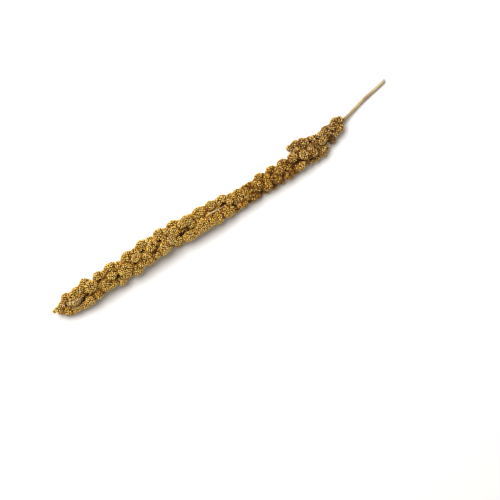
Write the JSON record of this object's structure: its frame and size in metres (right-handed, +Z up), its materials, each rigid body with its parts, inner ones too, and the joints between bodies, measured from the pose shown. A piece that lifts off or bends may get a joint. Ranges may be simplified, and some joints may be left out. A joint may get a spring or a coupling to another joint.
{
  "type": "millet seed head",
  "caption": "Dried foxtail millet spray lying on its side, with round clusters of seeds along a bent head and a bare straw stalk.",
  "frame": {"origin": "centre of the bounding box in plan, on the surface that the spray lies on", "axes": "+X from the head's tip to the stalk's cut end, +Y across, +Z up from the surface"},
  "size_m": [0.3064, 0.0291, 0.0197],
  "materials": {
    "seeds": "satin, small husked seeds",
    "straw": "satin dry straw"
  },
  "bodies": {
    "root": {"seed_head": "seeds", "stalk": "straw"}
  },
  "joints": []
}
